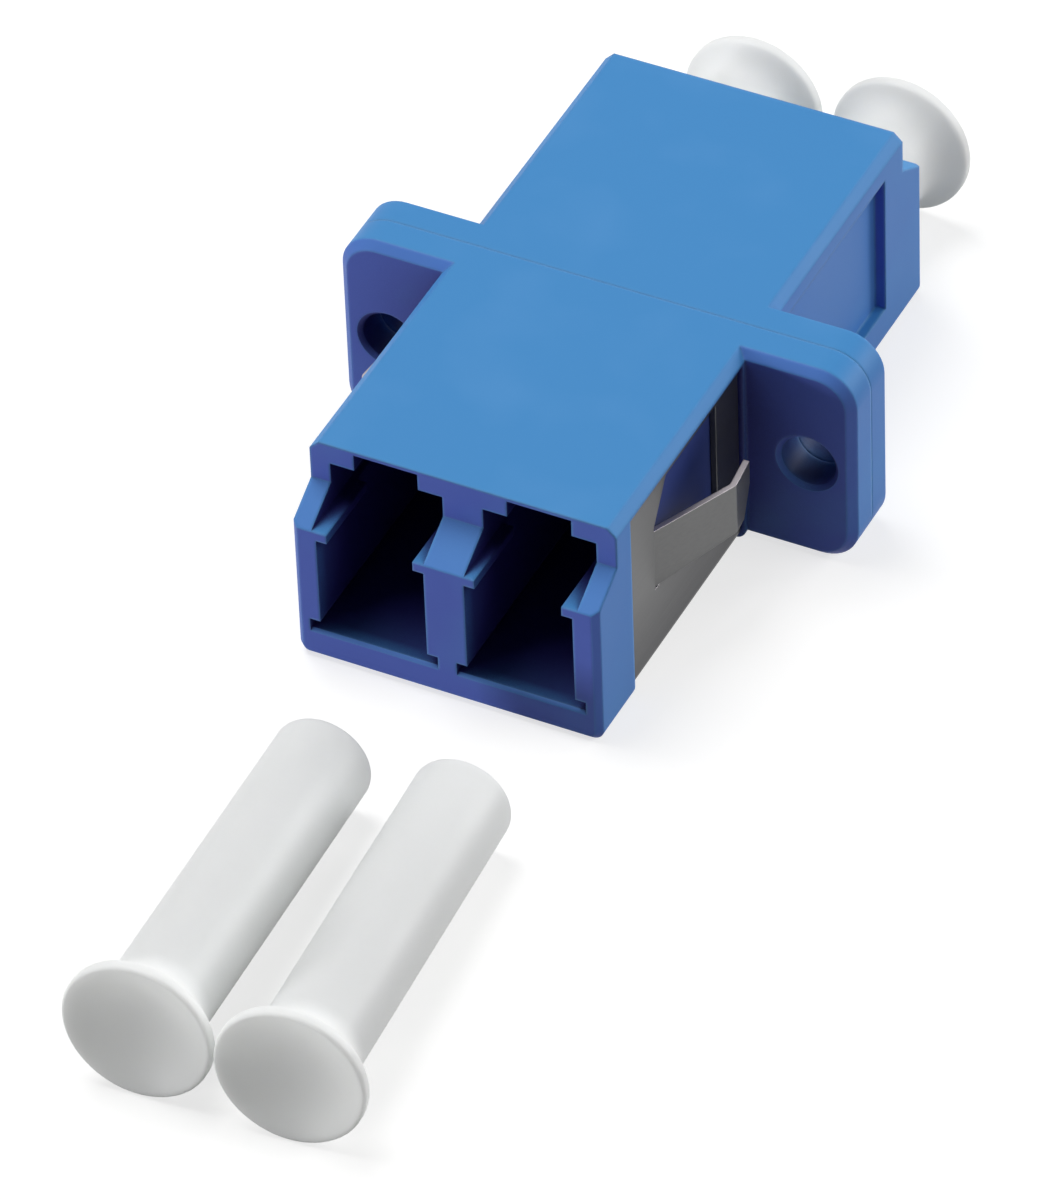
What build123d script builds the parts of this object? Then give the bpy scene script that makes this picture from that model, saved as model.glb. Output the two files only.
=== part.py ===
from build123d import *
import os
from math import atan, cos, radians, sin

# Fibre adapter, millimetres. X runs across the two ports, Y from the open ports to the
# capped ports, Z up. The origin is the middle of the bottom edge of the flange's front face.

# Ports: a plug bay, a latch bay above it and a slot for the latch in its roof
port_pitch = 6.25
port_w = 4.55
port_h = 4.58
side_wall = 1.05
floor_t = 1.42
foot_w = 0.45
foot_h = 0.5
rail_t = 0.42
rail_out = 0.45
rail_len = 3.4
latch_over = 0.2
latch_h = 1.98
latch_depth = 9.0
slot_w = 2.7
slot_h = 0.52
top_wall = 0.38
shoulder_len = 2.6
slot_lead = 0.24
floor_lead = 0.12

# Outer body and its stepped noses
half_len = 13.1
top_chamfer = 0.38
bottom_r = 0.5
nose_edge = 0.25
setback = 1.8
ramp_top_drop = 1.85
ramp_fall = 1.05

# Flange and its screw holes
flange_t = 3.2
flange_corner_r = 1.6
flange_edge = 0.35
hole_pitch = 18.0
hole_edge = 2.0
hole_d = 2.3
hole_chamfer = 0.18

# Ferrule barrels and split sleeves
web_half = 2.2
sleeve_len = 6.8
sleeve_id = 1.25
sleeve_t = 0.185
sleeve_slit = 0.25
sleeve_fit = 0.05
sleeve_end_gap = 0.05
barrel_wall = 0.44
barrel_lip_t = 0.4
barrel_lip_over = 0.17
barrel_mouth = 0.16
barrel_edge = 0.14

# Pins that line up the two halves
web_pin_d = 1.0
web_pin_len = 0.8
web_pin_root = 0.5
web_pin_fit = 0.05

# Recesses round the body
recess_d = 0.45
recess_end = 0.2
front_ring_len = 3.0
front_recess_top = 0.1
rear_ring_len = 3.5
rear_recess_bottom = 1.7
rear_recess_top = 1.1
under_recess_d = 0.32

# Spring clip: a plate a side, joined by a strap under the body
clip_t = 0.25
clip_fit = 0.02
clip_end_gap = 0.12
clip_inner_r = 0.3
clip_corner_r = 0.25
strip_t = 0.34
rear_strip = 1.95
strap_hole_w = 4.0
strap_hole_l = 2.4
boss_gap = 0.1

# Spring tabs, cut and bent out of the plates
tab_root = 2.3
tab_overlap = 0.3
tab_rise = 1.7
tab_flat_len = 1.5
tab_end_gap = 0.33
tab_tip_in = 0.15
tab_taper = 0.4
tab_tip_cut = 0.7
tab_tip_h = 1.1
tab_low = 3.65
tab_h = 2.75
tab_slit = 0.16
tab_bend_r = 0.35
window_slant = 1.15

# Dust caps
cap_len = 17.0
cap_fit = 0.55
cap_wall = 0.3
cap_head_gap = 0.25
cap_rim_t = 0.55
cap_rim_edge = 0.12
cap_flare_len = 1.7
cap_dish_edge = 0.5
cap_dish_depth = 0.95
cap_dish_turn_d = 2.8
cap_dish_turn_depth = 0.68
cap_floor_t = 0.9
cap_lead = 0.2

# Caps in the rear ports: share of the sideways play that each one leans by
cap_web_gap = 0.3
cap_play = 0.03
rear_lean = {"left": 0.26, "right": 0.87}

# Caps lying loose in front: distance of the rim ahead of the nose, and turn in degrees
floor_gap = 0.005
loose_x = -0.73
loose_gap = 0.17
loose_ahead = {"left": 23.93, "right": 23.75}
loose_turn = {"left": -3.3, "right": -4.65}

# Places across the body and up it
port_x = port_pitch / 2
rib_half = port_x - port_w / 2
port_out = port_x + port_w / 2
latch_out = port_out + latch_over
slot_x = (rib_half + latch_out) / 2
body_w = 2 * (port_out + side_wall)
foot_z = floor_t + foot_h
rail_z = floor_t + port_h
latch_z = rail_z + rail_t
shoulder_z = latch_z + latch_h
slot_z = shoulder_z + slot_h
body_h = slot_z + top_wall
axis_z = floor_t + port_h / 2
flange_w = hole_pitch + 2 * hole_edge

# Places along the body
mid_y = flange_t / 2
rear_nose_y = flange_t + half_len
nose_y = -half_len
step_y = nose_y + setback
ring_y = nose_y + front_ring_len
strap_y = ring_y / 2
web_y = mid_y - web_half
barrel_y = mid_y - sleeve_len / 2 - sleeve_end_gap - barrel_lip_t

# Diameters that follow from what they hold or fit in
sleeve_od = sleeve_id + 2 * sleeve_t
barrel_bore_d = sleeve_od + 2 * sleeve_fit
barrel_od = barrel_bore_d + 2 * barrel_wall
barrel_lip_d = sleeve_id + barrel_lip_over
cap_tube_d = min(port_w, port_h) - cap_fit
cap_bore_d = cap_tube_d - 2 * cap_wall
cap_head_d = port_pitch - cap_head_gap

# How far a cutting shape runs past the faces that it cuts, and how near counts as on a face
past = 1
near = 0.001


def box(x0, x1, y0, y1, z0, z1):
    """Block between two corners."""
    size = (abs(x1 - x0), abs(y1 - y0), abs(z1 - z0))
    return Pos((x0 + x1) / 2, (y0 + y1) / 2, (z0 + z1) / 2) * Box(*size)


def rod(x, z, y0, y1, d):
    """Cylinder along the port axis."""
    return Pos(x, (y0 + y1) / 2, z) * Rot(90, 0, 0) * Cylinder(d / 2, abs(y1 - y0))


def side_prism(points, x0, x1):
    """Prism across the body from an outline of (y, z) points."""
    wire = Polyline(*[(x0, y, z) for y, z in points], close=True)
    return extrude(make_face(wire), x1 - x0, dir=(1, 0, 0))


def front_prism(points, y0, y1):
    """Prism along the port axis from an outline of (x, z) points."""
    wire = Polyline(*[(x, y0, z) for x, z in points], close=True)
    return extrude(make_face(wire), y1 - y0, dir=(0, 1, 0))


def plan_prism(points, z0, z1):
    """Upright prism from an outline of (x, y) points."""
    wire = Polyline(*[(x, y, z0) for x, y in points], close=True)
    return extrude(make_face(wire), z1 - z0, dir=(0, 0, 1))


def outer_shell():
    """Body and half of the flange, before the ports are cut."""
    body = box(-body_w / 2, body_w / 2, nose_y, mid_y, 0, body_h)
    top_edges = body.edges().filter_by(Axis.Y).filter_by(lambda e: e.center().Z > body_h / 2)
    body = chamfer(top_edges, top_chamfer)
    low_edges = body.edges().filter_by(Axis.Y).filter_by(lambda e: e.center().Z < near)
    body = fillet(low_edges, bottom_r)
    body = chamfer(body.edges().filter_by(lambda e: e.center().Y < nose_y + near), nose_edge)
    ramp_z = body_h - ramp_top_drop
    ramp = [(nose_y - past, ramp_z - ramp_fall * (setback + past) / setback), (step_y, ramp_z),
            (step_y, body_h + past), (nose_y - past, body_h + past)]
    body -= side_prism(ramp, -body_w, body_w)
    flange = box(-flange_w / 2, flange_w / 2, 0, mid_y, 0, body_h)
    flange = fillet(flange.edges().filter_by(Axis.Y), flange_corner_r)
    flange = chamfer(flange.edges().filter_by(lambda e: e.center().Y < near), flange_edge)
    shell = body + flange
    for x in (-hole_pitch / 2, hole_pitch / 2):
        shell -= rod(x, body_h / 2, -past, mid_y + past, hole_d)
        mouth = Cone(hole_d / 2, hole_d / 2 + hole_chamfer, hole_chamfer)
        shell -= Pos(x, hole_chamfer / 2, body_h / 2) * Rot(90, 0, 0) * mouth
    return shell


def port_cut(side):
    """What is removed for one port. The side is -1 for the left port and 1 for the right."""
    def across(a, b):
        return sorted((side * a, side * b))

    start, latch_end = nose_y - past, nose_y + latch_depth
    foot = [(rib_half, foot_z), (rib_half - foot_w, foot_z), (rib_half - foot_w, floor_t),
            (port_out + foot_w, floor_t), (port_out + foot_w, foot_z), (port_out, foot_z)]
    latch = [(port_out, latch_z), (latch_out, latch_z), (latch_out, shoulder_z),
             (slot_x + slot_w / 2, shoulder_z), (slot_x + slot_w / 2, slot_z),
             (slot_x - slot_w / 2, slot_z), (slot_x - slot_w / 2, shoulder_z), (rib_half, shoulder_z)]
    plug = [(port_out, rail_z), (rib_half, rail_z)]
    cut = front_prism([(side * x, z) for x, z in foot + latch], start, latch_end)
    cut += front_prism([(side * x, z) for x, z in foot + plug], start, web_y)
    for edge in (rib_half + rail_out / 2, port_out - rail_out / 2):
        rail = across(edge - rail_out / 2, edge + rail_out / 2)
        cut -= box(*rail, start, nose_y + rail_len, rail_z, latch_z)
    cut += box(*across(rib_half, latch_out), step_y + shoulder_len, latch_end, shoulder_z, slot_z)
    lead = [(start, slot_z), (step_y + slot_lead, slot_z), (step_y, slot_z + slot_lead),
            (start, slot_z + slot_lead)]
    cut += side_prism(lead, *across(slot_x - slot_w / 2, slot_x + slot_w / 2))
    sill = [(start, floor_t), (start, floor_t - floor_lead), (nose_y, floor_t - floor_lead),
            (nose_y + floor_lead, floor_t)]
    cut += side_prism(sill, *across(rib_half - foot_w, port_out + foot_w))
    return cut


def add_barrel(half, side):
    """Ferrule barrel on the web of one port, bored for its sleeve, with a tapered lip."""
    x = side * port_x
    half += rod(x, axis_z, barrel_y, mid_y, barrel_od)
    rim = half.edges().filter_by(GeomType.CIRCLE).filter_by(
        lambda e: abs(e.radius - barrel_od / 2) < near and e.center().Y < barrel_y + near
        and e.center().X * side > 0)
    half = chamfer(rim, barrel_edge)
    half -= rod(x, axis_z, barrel_y + barrel_lip_t, mid_y + past, barrel_bore_d)
    mouth = Cone(barrel_lip_d / 2 + barrel_mouth, barrel_lip_d / 2, barrel_lip_t)
    return half - Pos(x, barrel_y + barrel_lip_t / 2, axis_z) * Rot(-90, 0, 0) * mouth


def side_recess(side, y0, y1, z0, z1):
    """Shallow recess in one side of the body."""
    return box(side * (body_w / 2 - recess_d), side * body_w, y0, y1, z0, z1)


def housing_half():
    """What the two moulded halves share, built with the nose at the open end."""
    half = outer_shell()
    for side in (-1, 1):
        half = add_barrel(half - port_cut(side), side)
    return half


def front_half():
    """Half with the open ports, recessed for the spring clip, with two pins."""
    half = housing_half()
    pin_z = (latch_z + slot_z) / 2
    for side in (-1, 1):
        half -= side_recess(side, ring_y, -recess_end, 0, body_h - top_chamfer - front_recess_top)
        half += rod(side * port_x, pin_z, mid_y - web_pin_root, mid_y + web_pin_len, web_pin_d)
    half -= box(-body_w, body_w, ring_y, -recess_end, -past, under_recess_d)
    corner = half.edges().filter_by(Axis.Y).filter_by(
        lambda e: abs(e.center().Z - under_recess_d) < near
        and abs(abs(e.center().X) - body_w / 2 + recess_d) < near)
    half = fillet(corner, clip_inner_r)
    boss_x, boss_y = strap_hole_w / 2 - boss_gap, strap_hole_l / 2 - boss_gap
    half += box(-boss_x, boss_x, strap_y - boss_y, strap_y + boss_y, under_recess_d - clip_t, under_recess_d)
    return half


def rear_half():
    """Half with the capped ports, turned to face the other way, with holes for the pins."""
    half = housing_half()
    pin_z = (latch_z + slot_z) / 2
    for side in (-1, 1):
        half -= side_recess(side, nose_y + rear_ring_len, 0, rear_recess_bottom, body_h - rear_recess_top)
        half -= rod(side * port_x, pin_z, mid_y - web_pin_len - web_pin_fit, mid_y + past,
                    web_pin_d + 2 * web_pin_fit)
    return mirror(half, Plane.XZ.offset(-mid_y))


def spring_tab(side, outer, root_y, tip_y):
    """Tab bent out of one plate, from its root to a slanted tip beside the flange."""
    bend_y, high = tip_y - tab_flat_len, tab_low + tab_h
    line = [(outer, root_y - tab_overlap), (outer, root_y), (outer + tab_rise, bend_y),
            (outer + tab_rise - tab_tip_in, tip_y)]
    back = [(x - clip_t, y) for x, y in reversed(line)]
    tab = plan_prism([(side * x, y) for x, y in line + back], tab_low, high)
    bends = tab.edges().filter_by(Axis.Z).filter_by(lambda e: abs(e.center().Y - bend_y) < near)
    tab = fillet(bends, tab_bend_r)
    tip = [(root_y, tab_low), (bend_y, tab_low + tab_taper), (tip_y - tab_tip_cut, tab_low + tab_taper),
           (tip_y, high - tab_tip_h), (tip_y + past, high - tab_tip_h), (tip_y + past, tab_low - past),
           (root_y, tab_low - past)]
    return tab - side_prism(tip, *sorted((0, side * (outer + tab_rise + past))))


def spring_clip():
    """Folded sheet round the bottom and both sides, with one spring tab a side."""
    inner = body_w / 2 - recess_d + clip_fit
    outer = inner + clip_t
    low = under_recess_d - clip_fit - clip_t
    top = body_h - top_chamfer - front_recess_top - clip_end_gap
    y0, y1 = ring_y + clip_end_gap, -recess_end - clip_end_gap
    sheet = box(-outer, outer, y0, y1, low, top)
    folds = sheet.edges().filter_by(Axis.Y).filter_by(lambda e: e.center().Z < low + near)
    sheet = fillet(folds, clip_inner_r + clip_t)
    core = box(-inner, inner, y0 - past, y1 + past, low + clip_t, top + past)
    folds = core.edges().filter_by(Axis.Y).filter_by(lambda e: e.center().Z < low + clip_t + near)
    sheet -= fillet(folds, clip_inner_r)
    corners = sheet.edges().filter_by(Axis.X).filter_by(lambda e: e.center().Z > top - near)
    sheet = fillet(corners, clip_corner_r)
    root_y, window_y = ring_y + tab_root, y1 - rear_strip
    sill_z, head_z, bend_z = tab_low - tab_slit, top - strip_t, tab_low + tab_h + tab_slit
    window = [(root_y, sill_z), (root_y, bend_z), (root_y + window_slant, head_z),
              (window_y, head_z), (window_y, sill_z)]
    sheet -= side_prism(window, -body_w, body_w)
    sheet -= Pos(0, strap_y, low) * Box(strap_hole_w, strap_hole_l, 2 * (clip_t + clip_fit))
    for side in (-1, 1):
        sheet += spring_tab(side, outer, root_y, window_y - tab_end_gap)
    return sheet


def split_sleeve(side):
    """Ceramic alignment sleeve, slit along the top."""
    x = side * port_x
    y0, y1 = mid_y - sleeve_len / 2, mid_y + sleeve_len / 2
    sleeve = rod(x, axis_z, y0, y1, sleeve_od) - rod(x, axis_z, y0 - past, y1 + past, sleeve_id)
    slit = box(x - sleeve_slit / 2, x + sleeve_slit / 2, y0 - past, y1 + past, axis_z, axis_z + sleeve_od)
    return sleeve - slit


def dust_cap():
    """Dust cap on the Z axis: centre of the rim face at the origin, tube end at cap_len."""
    tube_r, bore_r, head_r = cap_tube_d / 2, cap_bore_d / 2, cap_head_d / 2
    dish_r, turn_r = head_r - cap_dish_edge, cap_dish_turn_d / 2
    floor_z, neck_z = cap_dish_depth + cap_floor_t, cap_rim_t + cap_flare_len
    outline = [
        Line((0, cap_dish_depth), (0, floor_z)),
        Line((0, floor_z), (bore_r, floor_z)),
        Line((bore_r, floor_z), (bore_r, cap_len)),
        Line((bore_r, cap_len), (tube_r - cap_lead, cap_len)),
        Line((tube_r - cap_lead, cap_len), (tube_r, cap_len - cap_lead)),
        Line((tube_r, cap_len - cap_lead), (tube_r, neck_z)),
        Spline((tube_r, neck_z), (head_r - cap_rim_edge, cap_rim_t), tangents=((0, -1), (0.85, -0.5))),
        Line((head_r - cap_rim_edge, cap_rim_t), (head_r, cap_rim_t - cap_rim_edge)),
        Line((head_r, cap_rim_t - cap_rim_edge), (head_r, cap_rim_edge)),
        Line((head_r, cap_rim_edge), (head_r - cap_rim_edge, 0)),
        Line((head_r - cap_rim_edge, 0), (dish_r, 0)),
        Line((dish_r, 0), (turn_r, cap_dish_turn_depth)),
        Line((turn_r, cap_dish_turn_depth), (0, cap_dish_depth)),
    ]
    face = make_face(Wire([piece.edge() for piece in outline])).rotate(Axis.X, 90)
    return revolve(face, Axis.Z)


def aim(shape, start, direction):
    """Place a shape made on the Z axis so that Z runs along a direction from a point."""
    return Plane(origin=start, z_dir=direction).location * shape


def rear_cap(side, lean_share):
    """Cap in a rear port, sagging by its play: the tube end lies against the bay's roof."""
    end_y = flange_t - web_y + cap_web_gap
    depth = rear_nose_y - end_y
    sink = (port_h - cap_tube_d) / 2 - cap_play
    sway = ((port_w - cap_tube_d) / 2 - cap_play) * lean_share
    sag, lean = atan(2 * sink / depth), atan(2 * sway / depth)
    run = Vector(sin(lean), cos(lean) * cos(sag), -sin(sag))
    end = Vector(side * port_x - sway, end_y, axis_z + sink)
    return aim(dust_cap(), end + run * cap_len, run * -1)


def loose_cap(x, ahead, turn):
    """Cap lying on the floor on its rim and its tube end."""
    rim_v, end_v = cap_rim_t - cap_rim_edge, cap_len - cap_lead
    tilt = atan((cap_head_d - cap_tube_d) / 2 / (end_v - rim_v))
    rise = rim_v * sin(tilt) + cap_head_d / 2 * cos(tilt) + floor_gap
    yaw = radians(turn)
    run = Vector(sin(yaw) * cos(tilt), cos(yaw) * cos(tilt), -sin(tilt))
    return aim(dust_cap(), Vector(x, nose_y - ahead, rise), run)


pieces = {
    "front_housing": front_half(),
    "rear_housing": rear_half(),
    "clip": spring_clip(),
}
for name, side in (("left", -1), ("right", 1)):
    beside = loose_x + (cap_head_d + loose_gap if side > 0 else 0)
    pieces[f"sleeve_{name}"] = split_sleeve(side)
    pieces[f"rear_cap_{name}"] = rear_cap(side, rear_lean[name])
    pieces[f"front_cap_{name}"] = loose_cap(beside, loose_ahead[name], loose_turn[name])
os.makedirs("parts", exist_ok=True)
for name, shape in pieces.items():
    export_step(shape, f"parts/{name}.step")
    bounds = shape.bounding_box()
    print(name, len(shape.solids()), "solids", round(shape.volume, 2), "mm3",
          [round(v, 2) for v in (*bounds.min, *bounds.max)])
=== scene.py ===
from math import cos, pi, radians, sin

import bmesh
import bpy
import numpy as np
from mathutils import Matrix, Vector


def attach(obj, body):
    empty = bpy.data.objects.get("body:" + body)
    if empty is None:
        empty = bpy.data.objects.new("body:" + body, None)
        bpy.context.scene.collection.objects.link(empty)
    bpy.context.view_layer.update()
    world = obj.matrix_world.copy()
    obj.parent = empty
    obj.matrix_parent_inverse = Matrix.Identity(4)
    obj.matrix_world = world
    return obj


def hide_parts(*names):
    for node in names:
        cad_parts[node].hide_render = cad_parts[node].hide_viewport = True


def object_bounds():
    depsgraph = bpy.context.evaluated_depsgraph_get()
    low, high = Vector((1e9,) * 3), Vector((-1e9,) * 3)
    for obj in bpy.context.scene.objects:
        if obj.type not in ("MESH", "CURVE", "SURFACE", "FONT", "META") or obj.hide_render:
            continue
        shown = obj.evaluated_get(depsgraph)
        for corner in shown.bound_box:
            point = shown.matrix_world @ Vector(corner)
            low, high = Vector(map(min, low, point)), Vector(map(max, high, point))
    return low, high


# A duplex fibre adapter on a pale table, with two of its dust caps pushed in and two lying in
# front of it. Lengths are in metres, except those of the lens and of the dust cap's half section,
# which are in mm.
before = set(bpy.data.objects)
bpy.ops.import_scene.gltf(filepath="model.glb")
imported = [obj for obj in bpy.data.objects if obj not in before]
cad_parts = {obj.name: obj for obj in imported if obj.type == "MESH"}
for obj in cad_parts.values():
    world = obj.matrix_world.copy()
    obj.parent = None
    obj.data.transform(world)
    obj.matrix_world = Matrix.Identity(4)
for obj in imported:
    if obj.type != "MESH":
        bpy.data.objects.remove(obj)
cad_low, cad_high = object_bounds()
MM = 0.001

# Camera: its place about its target, with angles in degrees, and its lens
view_azimuth = 27.660
view_elevation = 41.564
view_roll = -2.315
view_target = Vector((2.530, -11.488, 4.600)) * MM
view_distance = 382.147 * MM
view_near, view_far = 10 * MM, 10.0
sensor_mm = 36.0
lens_mm = 303.156

# Lamps: azimuth and elevation in degrees, side in metres, power in watts
lamp_distance = 0.5
lamps = {
    "high lamp": (-106, 66, 0.32, 1.98),
    "front left lamp": (-38, 5, 0.08, 0.84),
    "back right lamp": (142, 13, 0.20, 1.10),
    "right lamp": (98, 42, 0.25, 0.60),
}
world_light = 0.03

# Table, and its glow, which grows from the least to the most between two distances
table_half = 1.5
glow_near, glow_far = 0.08, 0.60
glow_least, glow_most = 0.70, 1.0

# Half section of a dust cap, in mm from its axis and from its rim face. The tube's last ring and
# the two roundings are measured back from the tube's end.
cap_length = 17.0
cap_tube_r, cap_bore_r, cap_head_r = 2.0, 1.7, 3.0
cap_dish_r, cap_dish_depth = 2.86, 0.90
cap_rim_front, cap_rim_side = 0.02, 0.17
cap_heel_start = 0.36
cap_neck_r, cap_neck_end = 2.82, 0.66
cap_flare_end = 2.30
cap_ring_places = (5.0, 9.0, 13.0)
cap_tube_last = 0.30
cap_end_out_r, cap_end_in_r = 1.84, 1.80
cap_end_round, cap_lip_round = 0.16, 0.10
cap_bore_last, cap_bore_turn = 2.60, 2.40
cap_floor_r, cap_bore_end = 1.20, 1.85
cap_dish_rings = 20
cap_sides = 96
# The fitted caps move on bodies of their own, and the loose ones stay with the housing
cap_bodies = {"rear_cap_left": "rear_cap_left", "rear_cap_right": "rear_cap_right"}

# Places on the housing where shade is painted into its colour: the plug bays, the bed under the
# clip's plates, and the bounds of the recesses with painted shade, which are nearer the middle than
# the first or in front of the second
port_x = 3.125 * MM
bay_z = 3.65 * MM
bay_half_w, bay_half_h = 2.33 * MM, 2.32 * MM
flange_middle_y = 1.6 * MM
bay_mouth, bay_fade = 14.60 * MM, 0.6 * MM
bed_x, bed_reach = 6.0 * MM, 0.1 * MM
recess_side_x, recess_back_y = 5.9 * MM, 3.25 * MM

# Colours, linear
housing_blue = (0.057, 0.254, 0.567)
# Paler blue, for the random drift of tone and for the painted highlight at rounded edges
housing_pale_and_highlight = (0.115, 0.325, 0.660)
# Darker violet blue, for painted shade on faces that point forward or down
housing_violet_shade = (0.096, 0.147, 0.571)
# Near black, for painted shade in recesses, in the plug bays and on the clip's bed
housing_painted_shade = (0.016, 0.005, 0.107)
steel_grey = (0.119, 0.120, 0.121)
# Paler grey, for the rolled lines and for the painted highlight at rounded edges
steel_pale_and_highlight = (0.214, 0.214, 0.214)
# Near black, for painted shade on the clip low down and in its recesses
steel_painted_shade = (0.030, 0.030, 0.036)
# Pale, for a painted highlight on the clip's faces that point up
steel_painted_highlight = (0.400, 0.370, 0.390)
ceramic_white = (0.860, 0.850, 0.820)
ceramic_cream = (0.80, 0.79, 0.75)
cap_white = (0.925, 0.945, 0.930)
cap_grey = (0.90, 0.925, 0.91)
table_grey = (0.420, 0.420, 0.416)
plain_white = (1.0, 1.0, 1.0, 1.0)


def new_material(name):
    """New material and its Principled shader."""
    material = bpy.data.materials.new(name)
    material.use_nodes = True
    return material, material.node_tree.nodes["Principled BSDF"]


def add(tree, kind, **values):
    """One node in a tree. Values go to its properties or, failing that, to its inputs."""
    node = tree.nodes.new(kind)
    for name, value in values.items():
        if hasattr(node, name):
            setattr(node, name, value)
        else:
            node.inputs[name.replace("_", " ")].default_value = value
    return node


def join(tree, source, target):
    """Link between two sockets."""
    tree.links.new(source, target)


def new_group(name, inputs, outputs):
    """Node group with named sockets. Each input is a name, a socket kind and a usual value."""
    tree = bpy.data.node_groups.new(name, "ShaderNodeTree")
    for label, kind, value in inputs:
        socket = tree.interface.new_socket(label, in_out="INPUT", socket_type=kind)
        socket.default_value = value
    for label, kind in outputs:
        tree.interface.new_socket(label, in_out="OUTPUT", socket_type=kind)
    return tree, tree.nodes.new("NodeGroupInput"), tree.nodes.new("NodeGroupOutput")


def place_group(tree, group, **values):
    """A group in a material, with its inputs set by name."""
    node = tree.nodes.new("ShaderNodeGroup")
    node.node_tree = group
    for name, value in values.items():
        node.inputs[name.replace("_", " ")].default_value = value
    return node


def maths(tree, operation, a, b=None, clamp=False):
    """Maths node on sockets or numbers. Returns its output."""
    node = add(tree, "ShaderNodeMath", operation=operation, use_clamp=clamp)
    for socket, value in zip(node.inputs, (a, b)):
        if isinstance(value, bpy.types.NodeSocket):
            join(tree, value, socket)
        elif value is not None:
            socket.default_value = value
    return node.outputs[0]


def times(tree, a, b, clamp=False):
    """Product of two sockets or numbers."""
    return maths(tree, "MULTIPLY", a, b, clamp)


def fading(tree, value, end, length):
    """1 where a value is a length or more below an end, falling to 0 at that end."""
    return maths(tree, "DIVIDE", maths(tree, "SUBTRACT", end, value), length, clamp=True)


def within(tree, value, middle, reach):
    """1 where a value is nearer than the reach to a middle value, else 0."""
    away = maths(tree, "ABSOLUTE", maths(tree, "SUBTRACT", value, middle))
    return maths(tree, "LESS_THAN", away, reach)


def blend_colours(tree, factor, a, b):
    """Mix of two colours, each a socket or a value. Returns the mixed colour."""
    # The sockets of this node that are for colours
    factor_in, first_in, second_in, mixed_out = 0, 6, 7, 2
    node = add(tree, "ShaderNodeMix", data_type="RGBA")
    for index, value in ((factor_in, factor), (first_in, a), (second_in, b)):
        if isinstance(value, bpy.types.NodeSocket):
            join(tree, value, node.inputs[index])
        else:
            node.inputs[index].default_value = value if index == factor_in else (*value, 1.0)
    return node.outputs[mixed_out]


def parts_of(tree, output):
    """X, Y and Z of an output of the texture coordinates: Object is a place, Normal a direction."""
    where = add(tree, "ShaderNodeTexCoord")
    parts = add(tree, "ShaderNodeSeparateXYZ")
    join(tree, where.outputs[output], parts.inputs["Vector"])
    return parts.outputs


def seen_directly(tree):
    """1 for rays from the camera, or off gloss or through glass, else 0."""
    path = add(tree, "ShaderNodeLightPath")
    seen = maths(tree, "MAXIMUM", path.outputs["Is Camera Ray"], path.outputs["Is Glossy Ray"])
    return maths(tree, "MAXIMUM", seen, path.outputs["Is Transmission Ray"])


def rounded_edge_group():
    """Normal rounded over a small radius at sharp edges, and a mask of where it turns."""
    edge_gain = 4.0
    tree, inside, outside = new_group(
        "rounded edges", [("Radius", "NodeSocketFloat", 0.1 * MM)],
        [("Normal", "NodeSocketVector"), ("Edge", "NodeSocketFloat")])
    bevel = add(tree, "ShaderNodeBevel", samples=6)
    geometry = add(tree, "ShaderNodeNewGeometry")
    along = add(tree, "ShaderNodeVectorMath", operation="DOT_PRODUCT")
    join(tree, inside.outputs["Radius"], bevel.inputs["Radius"])
    join(tree, bevel.outputs["Normal"], along.inputs[0])
    join(tree, geometry.outputs["Normal"], along.inputs[1])
    turned = maths(tree, "SUBTRACT", 1.0, along.outputs["Value"], clamp=True)
    join(tree, bevel.outputs["Normal"], outside.inputs["Normal"])
    join(tree, times(tree, turned, edge_gain, clamp=True), outside.inputs["Edge"])
    return tree


def fine_texture_group():
    """Texture that a mould leaves: a height of fine pits and a slow drift of tone."""
    tree, inside, outside = new_group(
        "fine texture",
        [("Pits per mm", "NodeSocketFloat", 12.0), ("Drift per mm", "NodeSocketFloat", 0.3)],
        [("Height", "NodeSocketFloat"), ("Drift", "NodeSocketFloat")])
    where = add(tree, "ShaderNodeTexCoord")
    pits = add(tree, "ShaderNodeTexNoise", Detail=3.0, Roughness=0.6)
    drift = add(tree, "ShaderNodeTexNoise", Detail=2.0, Roughness=0.5)
    for noise, name in ((pits, "Pits per mm"), (drift, "Drift per mm")):
        join(tree, where.outputs["Object"], noise.inputs["Vector"])
        join(tree, maths(tree, "DIVIDE", inside.outputs[name], MM), noise.inputs["Scale"])
    join(tree, pits.outputs["Fac"], outside.inputs["Height"])
    join(tree, drift.outputs["Fac"], outside.inputs["Drift"])
    return tree


def recess_group():
    """Mask of recesses and inner corners, where shade is painted: 0 above the Open share of open sky, 1
    below Closed.
    """
    tree, inside, outside = new_group(
        "recesses", [("Reach", "NodeSocketFloat", 4.0 * MM), ("Open", "NodeSocketFloat", 0.75),
                     ("Closed", "NodeSocketFloat", 0.15)], [("Recess", "NodeSocketFloat")])
    shade = add(tree, "ShaderNodeAmbientOcclusion", samples=8, only_local=True)
    spread = add(tree, "ShaderNodeMapRange", clamp=True)
    join(tree, inside.outputs["Reach"], shade.inputs["Distance"])
    join(tree, shade.outputs["AO"], spread.inputs["Value"])
    join(tree, inside.outputs["Open"], spread.inputs["From Min"])
    join(tree, inside.outputs["Closed"], spread.inputs["From Max"])
    join(tree, spread.outputs["Result"], outside.inputs["Recess"])
    return tree


rounded_edges = rounded_edge_group()
fine_texture = fine_texture_group()
recesses = recess_group()


def surface_bump(tree, shader, height, normal, strength, depth):
    """Bump of a small real depth over the rounded normal, into the shader."""
    bump = add(tree, "ShaderNodeBump", Strength=strength, Distance=depth)
    join(tree, height, bump.inputs["Height"])
    join(tree, normal, bump.inputs["Normal"])
    join(tree, bump.outputs["Normal"], shader.inputs["Normal"])


def uneven_roughness(tree, shader, mask, least, spread):
    """Roughness that follows a mask, from its least value up by a spread."""
    rough = maths(tree, "ADD", least, times(tree, mask, spread))
    join(tree, rough, shader.inputs["Roughness"])


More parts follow.
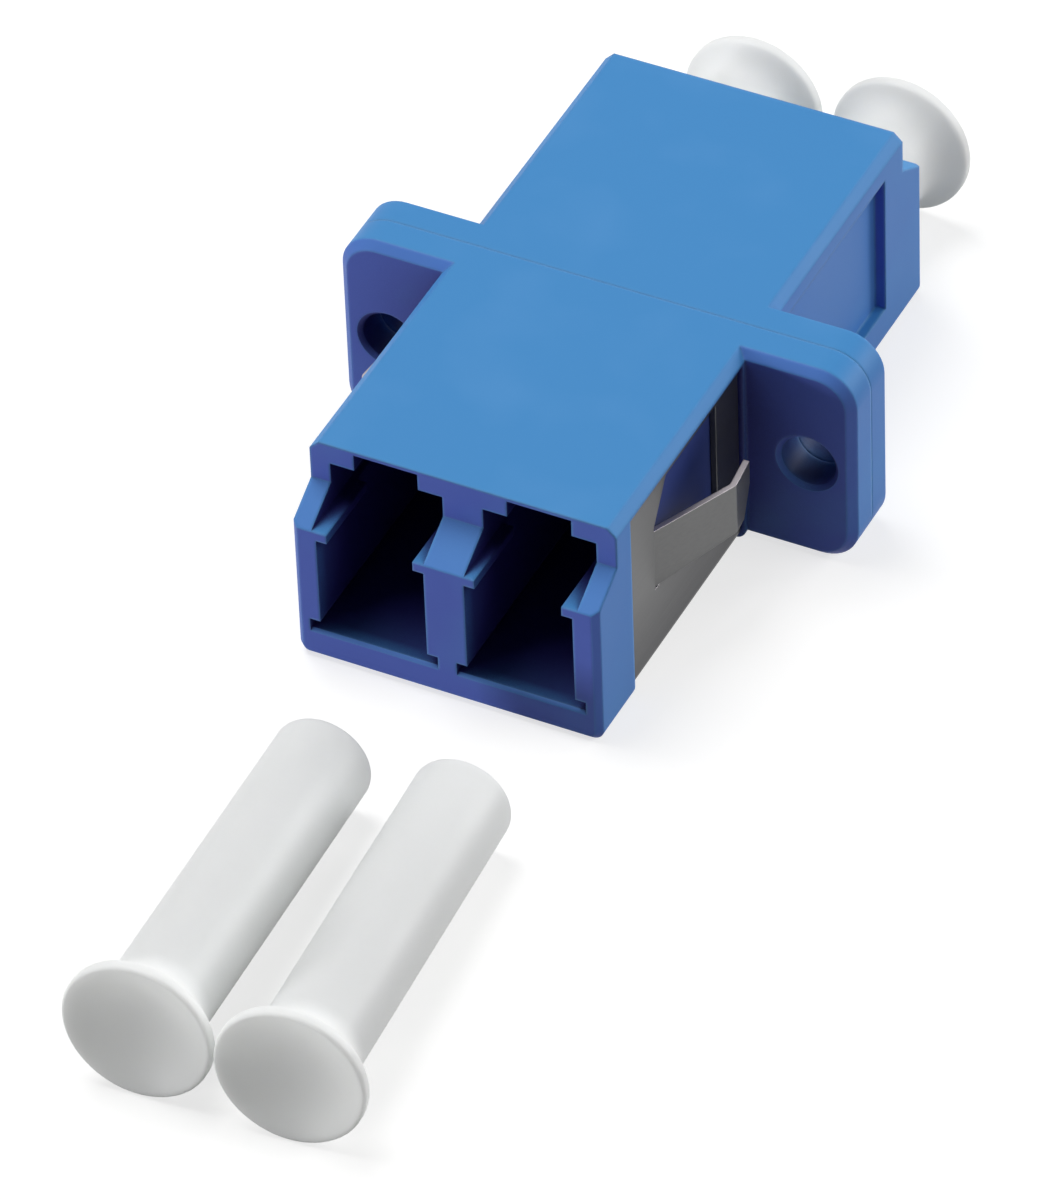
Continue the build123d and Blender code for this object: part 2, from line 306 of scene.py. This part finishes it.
def violet_shade_share(tree):
    """Share of painted violet shade by the way a face of the housing points: none upwards, most to the
    front.
    """
    level_share, front_share = 0.37, 0.60
    facing = parts_of(tree, "Normal")
    level = times(tree, maths(tree, "SUBTRACT", 1.0, facing["Z"]), level_share)
    return maths(tree, "ADD", level, times(tree, facing["Y"], -front_share), clamp=True)


def shaded_places(tree):
    """Masks of where the recesses get painted shade, and of painted shade in the plug bays and on the bed
    under the clip's plates.
    """
    least_sideways = 0.9
    at, facing = parts_of(tree, "Object"), parts_of(tree, "Normal")
    across = maths(tree, "ABSOLUTE", at["X"])
    in_front = maths(tree, "LESS_THAN", at["Y"], recess_back_y)
    places = maths(tree, "MAXIMUM", maths(tree, "LESS_THAN", across, recess_side_x), in_front)
    sideways = maths(tree, "GREATER_THAN", maths(tree, "ABSOLUTE", facing["X"]), least_sideways)
    # Painted shade on the bed under the clip's plates, and deep in the plug bays
    bed = times(tree, within(tree, across, bed_x, bed_reach), sideways)
    bed = times(tree, bed, maths(tree, "LESS_THAN", at["Y"], 0.0))
    from_middle = maths(tree, "ABSOLUTE", maths(tree, "SUBTRACT", at["Y"], flange_middle_y))
    depth = fading(tree, from_middle, bay_mouth, bay_fade)
    bay = times(tree, within(tree, across, port_x, bay_half_w), depth)
    bay = times(tree, bay, within(tree, at["Z"], bay_z, bay_half_h))
    return places, maths(tree, "MAXIMUM", bed, bay)


def housing_material():
    """Blue moulded plastic with a fine texture, painted highlights at its edges and painted shade in its
    recesses.
    """
    drift_middle, drift_pale, edge_highlight = 0.5, 0.9, 0.9
    recess_shade, place_shade = 0.95, 0.80
    material, shader = new_material("housing plastic")
    tree = material.node_tree
    edges = place_group(tree, rounded_edges, Radius=0.20 * MM)
    texture = place_group(tree, fine_texture, Pits_per_mm=9.0, Drift_per_mm=0.22)
    recess = place_group(tree, recesses, Reach=9.0 * MM, Open=0.84, Closed=0.42)
    drift = times(tree, maths(tree, "SUBTRACT", texture.outputs["Drift"], drift_middle), drift_pale)
    # Paler at rounded edges as a painted highlight, plus the drift of tone, which differs at random
    pale = maths(tree, "ADD", times(tree, edges.outputs["Edge"], edge_highlight), drift, clamp=True)
    # Painted violet shade on faces that point forward or down
    colour = blend_colours(tree, violet_shade_share(tree), housing_blue, housing_violet_shade)
    colour = blend_colours(tree, pale, colour, housing_pale_and_highlight)
    places, shaded = shaded_places(tree)
    # Painted shade: darker in recesses, in the plug bays and on the bed under the clip
    painted_dark = times(tree, recess.outputs["Recess"], times(tree, places, recess_shade))
    painted_dark = maths(tree, "MAXIMUM", painted_dark, times(tree, shaded, place_shade))
    join(tree, blend_colours(tree, painted_dark, colour, housing_painted_shade), shader.inputs["Base Color"])
    uneven_roughness(tree, shader, texture.outputs["Drift"], least=0.44, spread=0.12)
    shader.inputs["Specular IOR Level"].default_value = 0.18
    surface_bump(tree, shader, texture.outputs["Height"], edges.outputs["Normal"],
                 strength=0.25, depth=0.01 * MM)
    return material


def rolled_lines(tree):
    """Fine lines of a rolled sheet, drawn out along the body."""
    across, along = 9.0 / MM, 0.25 / MM
    where = add(tree, "ShaderNodeTexCoord")
    stretch = add(tree, "ShaderNodeMapping")
    stretch.inputs["Scale"].default_value = (across, along, across)
    lines = add(tree, "ShaderNodeTexNoise", Scale=1.0, Detail=4.0, Roughness=0.65)
    join(tree, where.outputs["Object"], stretch.inputs["Vector"])
    join(tree, stretch.outputs["Vector"], lines.inputs["Vector"])
    return lines.outputs["Fac"]


def steel_material():
    """Rolled spring sheet, with painted shade low down and in recesses and painted highlights on its
    edges and on faces that point up.
    """
    line_pale, edge_highlight = 0.5, 0.4
    recess_shade, low_shade = 0.9, 0.75
    low_end, low_fade = 4.2 * MM, 4.0 * MM
    highlight_start, highlight_gain = 0.4, 2.0
    material, shader = new_material("spring steel")
    tree = material.node_tree
    edges = place_group(tree, rounded_edges, Radius=0.06 * MM)
    recess = place_group(tree, recesses, Reach=3.5 * MM, Open=0.95, Closed=0.45)
    lines = rolled_lines(tree)
    # Paler along the rolled lines, and at rounded edges as a painted highlight
    pale = maths(tree, "ADD", times(tree, lines, line_pale),
                 times(tree, edges.outputs["Edge"], edge_highlight), clamp=True)
    colour = blend_colours(tree, pale, steel_grey, steel_pale_and_highlight)
    # Painted shade: darker low down towards the table, and in recesses
    low = fading(tree, parts_of(tree, "Object")["Z"], low_end, low_fade)
    painted_dark = maths(tree, "ADD", times(tree, recess.outputs["Recess"], recess_shade),
                 times(tree, low, low_shade), clamp=True)
    colour = blend_colours(tree, painted_dark, colour, steel_painted_shade)
    # Painted highlight on faces that point up
    upwards = maths(tree, "SUBTRACT", parts_of(tree, "Normal")["Z"], highlight_start)
    top_highlight = times(tree, upwards, highlight_gain, clamp=True)
    join(tree, blend_colours(tree, top_highlight, colour, steel_painted_highlight), shader.inputs["Base Color"])
    uneven_roughness(tree, shader, lines, least=0.28, spread=0.2)
    shader.inputs["Metallic"].default_value = 1.0
    surface_bump(tree, shader, lines, edges.outputs["Normal"], strength=0.3, depth=0.004 * MM)
    return material


def ceramic_material():
    """Polished white ceramic with a faint ground texture."""
    material, shader = new_material("sleeve ceramic")
    tree = material.node_tree
    edges = place_group(tree, rounded_edges, Radius=0.03 * MM)
    texture = place_group(tree, fine_texture, Pits_per_mm=20.0, Drift_per_mm=0.5)
    colour = blend_colours(tree, texture.outputs["Drift"], ceramic_white, ceramic_cream)
    join(tree, colour, shader.inputs["Base Color"])
    shader.inputs["Roughness"].default_value = 0.15
    surface_bump(tree, shader, texture.outputs["Height"], edges.outputs["Normal"],
                 strength=0.1, depth=0.002 * MM)
    return material


def cap_material():
    """Soft white moulding that lets a little light through."""
    material, shader = new_material("cap plastic")
    tree = material.node_tree
    edges = place_group(tree, rounded_edges, Radius=0.08 * MM)
    texture = place_group(tree, fine_texture, Pits_per_mm=5.0, Drift_per_mm=0.35)
    colour = blend_colours(tree, texture.outputs["Drift"], cap_white, cap_grey)
    join(tree, colour, shader.inputs["Base Color"])
    uneven_roughness(tree, shader, texture.outputs["Drift"], least=0.42, spread=0.16)
    shader.inputs["Specular IOR Level"].default_value = 0.35
    shader.inputs["Subsurface Weight"].default_value = 0.6
    shader.inputs["Subsurface Radius"].default_value = (1.0, 1.0, 0.95)
    shader.inputs["Subsurface Scale"].default_value = 1.5 * MM
    surface_bump(tree, shader, texture.outputs["Height"], edges.outputs["Normal"],
                 strength=0.2, depth=0.01 * MM)
    return material


def table_material():
    """Pale table, seen as near white, that keeps the shadows and lights the part plainly."""
    material, shader = new_material("pale table")
    tree = material.node_tree
    shader.inputs["Base Color"].default_value = (*table_grey, 1.0)
    shader.inputs["Roughness"].default_value = 0.9
    shader.inputs["Specular IOR Level"].default_value = 0.0
    shader.inputs["Emission Color"].default_value = plain_white
    where = add(tree, "ShaderNodeTexCoord")
    far = add(tree, "ShaderNodeVectorMath", operation="LENGTH")
    join(tree, where.outputs["Object"], far.inputs[0])
    glow = add(tree, "ShaderNodeMapRange", clamp=True, From_Min=glow_near, From_Max=glow_far,
               To_Min=glow_least, To_Max=glow_most)
    join(tree, far.outputs["Value"], glow.inputs["Value"])
    strength = times(tree, seen_directly(tree), glow.outputs["Result"])
    join(tree, strength, shader.inputs["Emission Strength"])
    return material


def dress(node, material):
    """Give a CAD node its finish."""
    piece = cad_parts[node]
    piece.data.materials.clear()
    piece.data.materials.append(material)


def put_in_scene(name, data):
    """New object in the scene, from its mesh, lamp or camera data."""
    item = bpy.data.objects.new(name, data)
    bpy.context.scene.collection.objects.link(item)
    return item


def cap_place(node):
    """Middle of a cap's rim face and the direction from there to its tube end, from its CAD solid."""
    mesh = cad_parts[node].data
    mesh.calc_loop_triangles()
    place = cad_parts[node].matrix_world
    # Corners, middle and area of each triangle
    corners = np.array([[place @ mesh.vertices[i].co for i in t.vertices] for t in mesh.loop_triangles])
    middles = corners.mean(axis=1)
    areas = np.linalg.norm(np.cross(corners[:, 1] - corners[:, 0], corners[:, 2] - corners[:, 0]), axis=1)
    centre = np.average(middles, axis=0, weights=areas)
    spread = np.einsum("n,ni,nj->ij", areas, middles - centre, middles - centre)
    axis = np.linalg.eigh(spread)[1][:, 2]
    points = corners.reshape(-1, 3) - centre
    along = points @ axis
    across = np.linalg.norm(points - np.outer(along, axis), axis=1)
    # The widest point is on the head, so the axis is turned to run from there to the tube end
    if along[across.argmax()] > 0:
        axis, along = -axis, -along
    return Vector(centre + axis * along.min()), Vector(axis)


def eased(start, end, leave, arrive, steps):
    """Points on a smooth curve in the plane, with the way and pull that it has at each end."""
    a, d = Vector(start), Vector(end)
    b, c = a + Vector(leave), d - Vector(arrive)
    points = []
    for i in range(steps + 1):
        t = i / steps
        points.append(a * (1 - t) ** 3 + b * 3 * t * (1 - t) ** 2 + c * 3 * t * t * (1 - t) + d * t ** 3)
    return points


def cap_profile():
    """Half section of a dust cap in mm, as radius and distance from the rim face."""
    tube_places = (*cap_ring_places, cap_length - cap_tube_last)
    bore_places = (*reversed(cap_ring_places), cap_bore_last)
    neck = (cap_neck_r, cap_neck_end)
    dish = [Vector((cap_dish_r * i / cap_dish_rings, cap_dish_depth * (1 - (i / cap_dish_rings) ** 2)))
            for i in range(cap_dish_rings)]
    rim = eased((cap_dish_r, cap_rim_front), (cap_head_r, cap_rim_side),
                leave=(0.05, -0.03), arrive=(0.0, 0.08), steps=6)
    heel = eased((cap_head_r, cap_heel_start), neck, leave=(0.0, 0.14), arrive=(-0.12, 0.10), steps=6)
    flare = eased(neck, (cap_tube_r, cap_flare_end), leave=(-0.48, 0.40), arrive=(0.0, 0.75), steps=12)
    tube = [Vector((cap_tube_r, place)) for place in tube_places]
    end = eased((cap_tube_r, cap_length - cap_end_round), (cap_end_out_r, cap_length),
                leave=(0.0, 0.09), arrive=(-0.09, 0.0), steps=5)
    lip = eased((cap_end_in_r, cap_length), (cap_bore_r, cap_length - cap_lip_round),
                leave=(-0.06, 0.0), arrive=(0.0, -0.06), steps=4)
    bore = [Vector((cap_bore_r, place)) for place in bore_places]
    bore_end = eased((cap_bore_r, cap_bore_turn), (cap_floor_r, cap_bore_end),
                     leave=(0.0, -0.30), arrive=(-0.30, 0.0), steps=6)
    floor = [Vector((0.0, cap_bore_end))]
    return dish + rim + heel + flare[1:] + tube + end + lip + bore + bore_end + floor


def build_cap(node, material):
    """Smooth turned dust cap in place of its CAD solid, with a soft rim and a round dish."""
    start, axis = cap_place(node)
    turn = axis.to_track_quat("Z", "Y").to_matrix()
    angles = [2 * pi * k / cap_sides for k in range(cap_sides)]
    shape = bmesh.new()
    rings = []
    for radius, height in cap_profile():
        around = angles if radius > 0 else angles[:1]
        ring = [Vector((radius * cos(a), radius * sin(a), height)) for a in around]
        rings.append([shape.verts.new(start + turn @ corner * MM) for corner in ring])
    for here, there in zip(rings, rings[1:]):
        for k in range(cap_sides):
            after = (k + 1) % cap_sides
            corners = [here[k % len(here)], here[after % len(here)],
                       there[after % len(there)], there[k % len(there)]]
            # A ring of one point, on the axis, gives the same corner twice
            shape.faces.new(list(dict.fromkeys(corners)))
    bmesh.ops.recalc_face_normals(shape, faces=shape.faces)
    for face in shape.faces:
        face.smooth = True
    mesh = bpy.data.meshes.new(f"turned_{node}")
    shape.to_mesh(mesh)
    mesh.materials.append(material)
    cap = put_in_scene(f"turned_{node}", mesh)
    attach(cap, cap_bodies.get(node, "housing"))
    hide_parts(node)


def build_floor():
    """Large pale table under the part."""
    shape = bmesh.new()
    sides = ((-1, -1), (1, -1), (1, 1), (-1, 1))
    shape.faces.new([shape.verts.new((x * table_half, y * table_half, 0)) for x, y in sides])
    mesh = bpy.data.meshes.new("table")
    shape.to_mesh(mesh)
    mesh.materials.append(table_material())
    floor = put_in_scene("table", mesh)
    floor.location.z = cad_low.z


def stand_facing(item, azimuth, elevation, distance, roll=0.0):
    """Aim a lamp or the camera at the target. Azimuth 0 is in front of the ports, 90 on their right."""
    a, e = radians(azimuth), radians(elevation)
    away = Vector((sin(a) * cos(e), -cos(a) * cos(e), sin(e)))
    level = away.to_track_quat("Z", "Y").to_matrix()
    item.location = view_target + away * distance
    item.rotation_mode = "QUATERNION"
    item.rotation_quaternion = (level @ Matrix.Rotation(radians(roll), 3, "Z")).to_quaternion()


def build_lamp(name, azimuth, elevation, size, power):
    """Soft square lamp aimed at the part."""
    data = bpy.data.lights.new(name, "AREA")
    data.shape = "SQUARE"
    data.size = size
    data.energy = power
    stand_facing(put_in_scene(name, data), azimuth, elevation, lamp_distance)


def build_world():
    """White surroundings where they are seen or mirrored, and a faint plain light elsewhere."""
    world = bpy.data.worlds.new("studio")
    world.use_nodes = True
    tree = world.node_tree
    background = tree.nodes["Background"]
    seen = times(tree, seen_directly(tree), 1.0 - world_light)
    join(tree, maths(tree, "ADD", seen, world_light), background.inputs["Strength"])
    background.inputs["Color"].default_value = plain_white
    bpy.context.scene.world = world


def build_camera():
    """Camera at the photograph's viewing angle."""
    data = bpy.data.cameras.new("camera")
    data.sensor_width = sensor_mm
    data.lens = lens_mm
    data.clip_start, data.clip_end = view_near, view_far
    camera = put_in_scene("camera", data)
    stand_facing(camera, view_azimuth, view_elevation, view_distance, view_roll)
    bpy.context.scene.camera = camera


blue, steel, ceramic, white = housing_material(), steel_material(), ceramic_material(), cap_material()
for node in ("front_housing", "rear_housing"):
    dress(node, blue)
dress("clip", steel)
for side in ("left", "right"):
    dress(f"sleeve_{side}", ceramic)
    for end in ("front", "rear"):
        build_cap(f"{end}_cap_{side}", white)

build_floor()
build_world()
for name, values in lamps.items():
    build_lamp(name, *values)
build_camera()
bpy.context.scene.view_settings.view_transform = "Standard"
